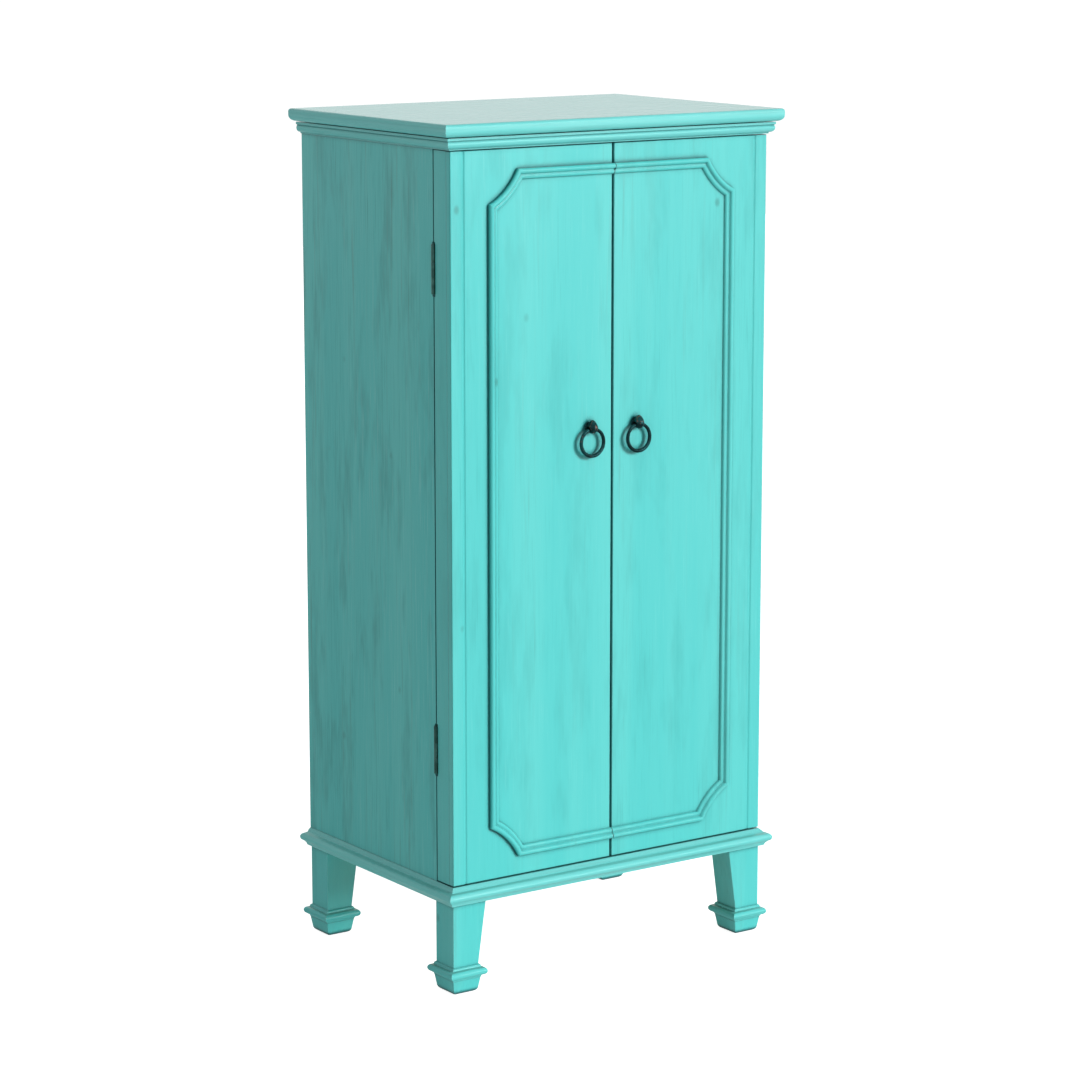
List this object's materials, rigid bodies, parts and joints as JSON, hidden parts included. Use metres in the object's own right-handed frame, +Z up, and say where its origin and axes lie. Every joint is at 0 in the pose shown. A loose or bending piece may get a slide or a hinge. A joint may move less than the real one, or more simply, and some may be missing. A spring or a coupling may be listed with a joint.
{
  "type": "jewelry cabinet",
  "caption": "Free-standing painted jewelry cabinet on tapered legs, with a lift-top mirror lid over a ring tray, deep hinged doors with hanging ring pulls, and drawers.",
  "frame": {"origin": "on the floor, at the middle of the whole object's footprint", "axes": "+Z up; the doors face -Y; +X is the right-hand side seen from the front"},
  "size_m": [0.482, 0.341, 1.016],
  "materials": {
    "painted_wood": "distressed satin turquoise paint with dark glaze in the grooves",
    "bare_wood": "plain sanded wood",
    "velvet": "soft short-pile lining",
    "dark_bronze": "dark antique bronze with rubbed copper highlights",
    "bright_steel": "zinc plated",
    "mirror_glass": "silvered mirror",
    "bumper": "soft matt"
  },
  "bodies": {
    "cabinet": {"left_side_panel": "painted_wood", "right_side_panel": "painted_wood", "back_panel": "painted_wood", "plinth_board": "bare_wood", "base_moulding": "painted_wood", "front_left_leg": "painted_wood", "front_right_leg": "painted_wood", "rear_left_leg": "painted_wood", "rear_right_leg": "painted_wood", "leg_collars": "painted_wood", "cornice": "painted_wood", "tray_floor": "bare_wood", "tray_front_rail": "painted_wood", "tray_dividers": "velvet", "ring_rolls": "velvet", "drawer_runners": "bare_wood", "cabinet_hinge_leaves": "dark_bronze", "lid_hinge_cabinet_leaves": "dark_bronze", "hinge_pins": "dark_bronze", "catch_magnets": "bright_steel"},
    "lid": {"lid_board": "painted_wood", "lid_mirror_frame": "painted_wood", "lid_mirror": "mirror_glass", "lid_hinge_leaves": "dark_bronze", "lid_bumpers": "bumper"},
    "left_door": {"left_door_panel": "painted_wood", "left_door_frame": "painted_wood", "left_door_moulding": "painted_wood", "left_door_lining": "velvet", "left_hook_rail": "bare_wood", "left_hooks": "dark_bronze", "left_pull_post": "dark_bronze", "left_hinge_leaves": "dark_bronze", "left_strike_plate": "bright_steel"},
    "left_pull": {"left_pull_ring": "dark_bronze"},
    "right_door": {"right_door_panel": "painted_wood", "right_door_frame": "painted_wood", "right_door_moulding": "painted_wood", "right_door_lining": "velvet", "right_hook_rail": "bare_wood", "right_hooks": "dark_bronze", "right_pull_post": "dark_bronze", "right_hinge_leaves": "dark_bronze", "right_strike_plate": "bright_steel"},
    "right_pull": {"right_pull_ring": "dark_bronze"},
    "drawer_1": {"drawer_1_front": "painted_wood", "drawer_1_box": "bare_wood", "drawer_1_knobs": "dark_bronze"},
    "drawer_2": {"drawer_2_front": "painted_wood", "drawer_2_box": "bare_wood", "drawer_2_knobs": "dark_bronze"},
    "drawer_3": {"drawer_3_front": "painted_wood", "drawer_3_box": "bare_wood", "drawer_3_knobs": "dark_bronze"},
    "drawer_4": {"drawer_4_front": "painted_wood", "drawer_4_box": "bare_wood", "drawer_4_knobs": "dark_bronze"},
    "drawer_5": {"drawer_5_front": "painted_wood", "drawer_5_box": "bare_wood", "drawer_5_knobs": "dark_bronze"}
  },
  "joints": [
    {"name": "left_door_hinge", "type": "hinge", "parent": "cabinet", "child": "left_door", "pos_m": [-0.2265, -0.121, 0.559], "axis": [0, 0, -1], "range_deg": [0, 175]},
    {"name": "left_pull_swing", "type": "hinge", "parent": "left_door", "child": "left_pull", "pos_m": [-0.0335, -0.162, 0.6545], "axis": [-1, 0, 0], "range_deg": [-6, 160]},
    {"name": "right_door_hinge", "type": "hinge", "parent": "cabinet", "child": "right_door", "pos_m": [0.2265, -0.121, 0.559], "axis": [0, 0, 1], "range_deg": [0, 175]},
    {"name": "right_pull_swing", "type": "hinge", "parent": "right_door", "child": "right_pull", "pos_m": [0.0335, -0.162, 0.6545], "axis": [-1, 0, 0], "range_deg": [-6, 160]},
    {"name": "lid_hinge", "type": "hinge", "parent": "cabinet", "child": "lid", "pos_m": [0, 0.1675, 0.998], "axis": [-1, 0, 0], "range_deg": [0, 95]},
    {"name": "drawer_1_slide", "type": "slide", "parent": "cabinet", "child": "drawer_1", "axis": [0, -1, 0], "range_m": [0, 0.025]},
    {"name": "drawer_2_slide", "type": "slide", "parent": "cabinet", "child": "drawer_2", "axis": [0, -1, 0], "range_m": [0, 0.025]},
    {"name": "drawer_3_slide", "type": "slide", "parent": "cabinet", "child": "drawer_3", "axis": [0, -1, 0], "range_m": [0, 0.025]},
    {"name": "drawer_4_slide", "type": "slide", "parent": "cabinet", "child": "drawer_4", "axis": [0, -1, 0], "range_m": [0, 0.025]},
    {"name": "drawer_5_slide", "type": "slide", "parent": "cabinet", "child": "drawer_5", "axis": [0, -1, 0], "range_m": [0, 0.025]}
  ]
}
